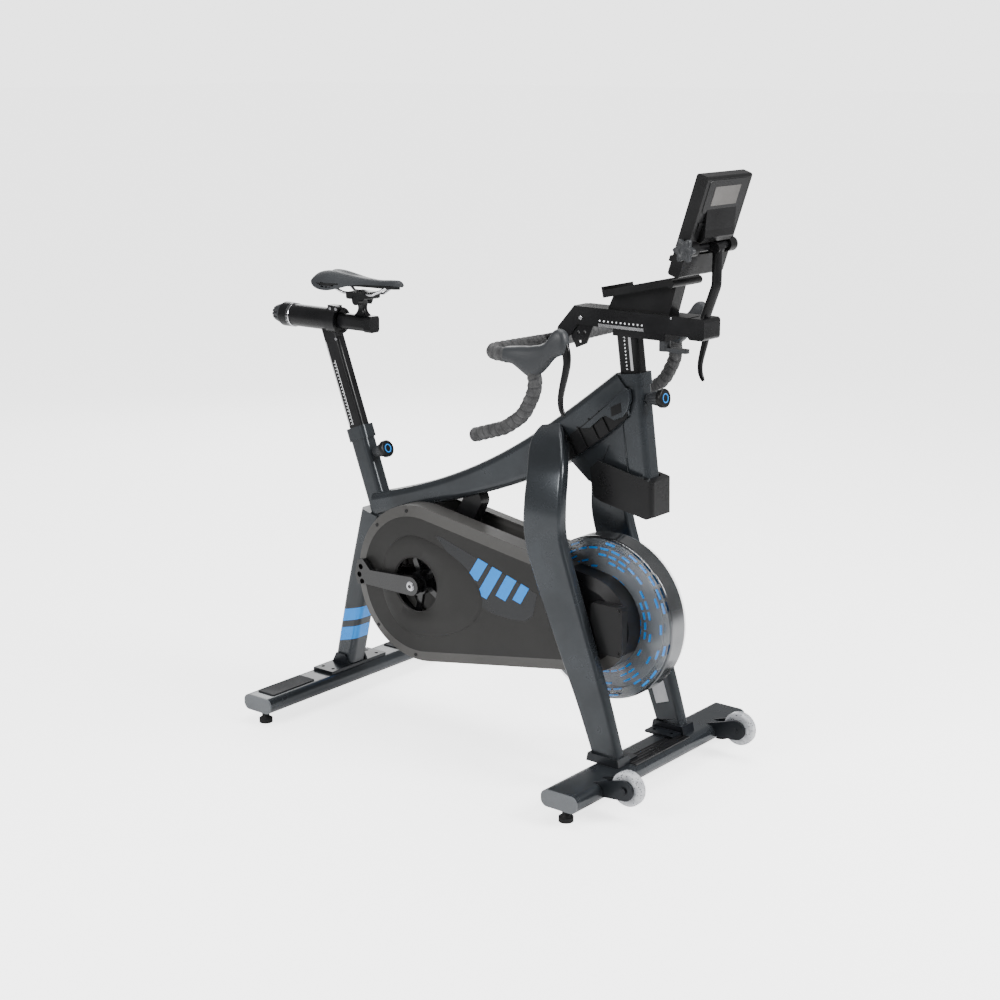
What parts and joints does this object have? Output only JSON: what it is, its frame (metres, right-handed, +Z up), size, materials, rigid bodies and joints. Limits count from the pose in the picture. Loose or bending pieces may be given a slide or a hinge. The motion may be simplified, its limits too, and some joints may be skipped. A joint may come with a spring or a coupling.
{
  "type": "indoor spin bike",
  "caption": "Indoor training bike with arched fork legs, an enclosed belt drive, a flywheel, an adjustable saddle and a drop handlebar with a tilting screen.",
  "frame": {"origin": "on the floor, under the middle of the whole bike", "axes": "+X forward, from the saddle to the handlebar; +Y to the rider's left; +Z up"},
  "size_m": [1.3848, 0.708, 1.4193],
  "materials": {
    "frame_paint": "satin metallic slate",
    "black_metal": "satin black",
    "end_cap": "smooth light grey",
    "pad_rubber": "fine ribbed",
    "foot_rubber": "matte",
    "wheel_plastic": "clear with speckles",
    "cover_plastic": "fine grained",
    "screw_steel": "turned",
    "crank_alloy": "dark anodised",
    "belt_rubber": "ribbed",
    "flywheel_alloy": "turned",
    "flywheel_steel": "turned and lacquered",
    "guard_clear": "clear plastic",
    "knob_plastic": "moulded",
    "saddle_rail": "polished",
    "saddle_cover": "fine grained synthetic",
    "shell_plastic": "moulded",
    "bar_tape": "wrapped",
    "hood_rubber": "smooth",
    "screen_glass": "dark glossy"
  },
  "bodies": {
    "frame": {"front_base": "frame_paint", "rear_base": "frame_paint", "base_end_caps": "end_cap", "standing_pads": "pad_rubber", "wheel_brackets": "frame_paint", "seat_tube": "frame_paint", "head_tube": "frame_paint", "tube_collars": "frame_paint", "main_beam": "frame_paint", "rear_leg": "frame_paint", "fork_leg_right": "frame_paint", "fork_leg_left": "frame_paint", "foot_plates": "frame_paint", "drive_carrier": "black_metal", "bottom_bearings": "screw_steel", "front_shroud": "cover_plastic", "belt_cover_right": "cover_plastic", "belt_cover_left": "cover_plastic", "cover_screws": "screw_steel", "motor_box": "cover_plastic", "belt": "belt_rubber", "flywheel_guards": "guard_clear", "flywheel_axle": "screw_steel"},
    "crank": {"crank_spindle": "screw_steel", "crank_right": "crank_alloy", "crank_left": "crank_alloy", "belt_pulley": "crank_alloy"},
    "flywheel": {"flywheel_disc": "flywheel_alloy", "flywheel_rim": "flywheel_steel"},
    "foot_fr": {"foot_front_right": "foot_rubber"},
    "foot_fl": {"foot_front_left": "foot_rubber"},
    "foot_rr": {"foot_rear_right": "foot_rubber"},
    "foot_rl": {"foot_rear_left": "foot_rubber"},
    "wheel_r": {"wheel_right": "wheel_plastic"},
    "wheel_l": {"wheel_left": "wheel_plastic"},
    "seat_knob": {"seat_knob": "knob_plastic"},
    "seat_post": {"seat_post": "black_metal", "slide_tube": "black_metal", "slide_clamp": "crank_alloy"},
    "slide_knob": {"slide_knob": "knob_plastic"},
    "saddle_slide": {"seat_bar": "black_metal", "saddle_post": "black_metal"},
    "saddle": {"saddle_clamp": "crank_alloy", "saddle_rails": "saddle_rail", "saddle_shell": "shell_plastic", "saddle_pad": "saddle_cover"},
    "head_knob": {"head_knob": "knob_plastic"},
    "head_post": {"head_post": "black_metal"},
    "lock_lever": {"lock_lever": "black_metal"},
    "handlebar": {"bar_beam": "black_metal", "drop_bar": "black_metal", "bar_tape": "bar_tape", "hoods": "hood_rubber", "tray": "shell_plastic", "screen_arm": "black_metal"},
    "lever_r": {"lever_right": "black_metal"},
    "lever_l": {"lever_left": "black_metal"},
    "screen": {"screen_holder": "shell_plastic", "screen_glass": "screen_glass"},
    "tilt_knob": {"tilt_knob": "knob_plastic"}
  },
  "joints": [
    {"name": "flywheel_spin", "type": "hinge", "parent": "frame", "child": "flywheel", "pos_m": [0.394, 0, 0.376], "axis": [0, 1, 0], "continuous": true},
    {"name": "crank_spin", "type": "hinge", "parent": "frame", "child": "crank", "pos_m": [-0.13, 0, 0.374], "axis": [0, 1, 0], "continuous": true},
    {"name": "foot_fr_screw", "type": "slide", "parent": "frame", "child": "foot_fr", "axis": [0, 0, -1], "range_m": [0, 0.015]},
    {"name": "foot_fl_screw", "type": "slide", "parent": "frame", "child": "foot_fl", "axis": [0, 0, -1], "range_m": [0, 0.015]},
    {"name": "foot_rr_screw", "type": "slide", "parent": "frame", "child": "foot_rr", "axis": [0, 0, -1], "range_m": [0, 0.015]},
    {"name": "foot_rl_screw", "type": "slide", "parent": "frame", "child": "foot_rl", "axis": [0, 0, -1], "range_m": [0, 0.015]},
    {"name": "wheel_r_spin", "type": "hinge", "parent": "frame", "child": "wheel_r", "pos_m": [0.621, -0.235, 0.076], "axis": [0, 1, 0], "continuous": true},
    {"name": "wheel_l_spin", "type": "hinge", "parent": "frame", "child": "wheel_l", "pos_m": [0.621, 0.235, 0.076], "axis": [0, 1, 0], "continuous": true},
    {"name": "seat_height", "type": "slide", "parent": "frame", "child": "seat_post", "axis": [-0.3502, 0, 0.9367], "range_m": [-0.11, 0.045]},
    {"name": "seat_knob_pull", "type": "slide", "parent": "frame", "child": "seat_knob", "axis": [0.9367, 0, 0.3502], "range_m": [0, 0.012], "stiffness_N_per_m": 800, "springref_m": -0.005},
    {"name": "slide_knob_turn", "type": "hinge", "parent": "seat_post", "child": "slide_knob", "pos_m": [-0.654, 0, 0.996], "axis": [1, 0, 0], "range_deg": [-180, 180]},
    {"name": "saddle_fore_aft", "type": "slide", "parent": "seat_post", "child": "saddle_slide", "axis": [1, 0, 0], "range_m": [-0.04, 0.08]},
    {"name": "saddle_tilt", "type": "hinge", "parent": "saddle_slide", "child": "saddle", "pos_m": [-0.381, 0, 1.056], "axis": [0, 1, 0], "range_deg": [-8, 8]},
    {"name": "head_height", "type": "slide", "parent": "frame", "child": "head_post", "axis": [-0.134, 0, 0.991], "range_m": [-0.07, 0.08]},
    {"name": "head_knob_pull", "type": "slide", "parent": "frame", "child": "head_knob", "axis": [0.991, 0, 0.134], "range_m": [0, 0.012], "stiffness_N_per_m": 800, "springref_m": -0.005},
    {"name": "lock_lever_turn", "type": "hinge", "parent": "head_post", "child": "lock_lever", "pos_m": [0.535, 0, 1.03], "axis": [0, 0, 1], "range_deg": [0, 75]},
    {"name": "bar_fore_aft", "type": "slide", "parent": "head_post", "child": "handlebar", "axis": [1, 0, 0], "range_m": [-0.05, 0.05]},
    {"name": "lever_r_squeeze", "type": "hinge", "parent": "handlebar", "child": "lever_r", "pos_m": [0.463, -0.276, 1.06], "axis": [0, 1, 0], "range_deg": [0, 18], "stiffness_Nm_per_rad": 1, "springref_deg": -8.59},
    {"name": "lever_l_squeeze", "type": "hinge", "parent": "handlebar", "child": "lever_l", "pos_m": [0.463, 0.276, 1.06], "axis": [0, 1, 0], "range_deg": [0, 18], "stiffness_Nm_per_rad": 1, "springref_deg": -8.59},
    {"name": "screen_tilt", "type": "hinge", "parent": "handlebar", "child": "screen", "pos_m": [0.645, 0, 1.258], "axis": [0, 1, 0], "range_deg": [-15, 14]},
    {"name": "tilt_knob_turn", "type": "hinge", "parent": "screen", "child": "tilt_knob", "pos_m": [0.645, -0.098, 1.258], "axis": [0, 1, 0], "range_deg": [-180, 180]}
  ],
  "couplings": [
    {"joint": "crank_spin", "follows": "flywheel_spin", "ratio": 0.26316}
  ]
}
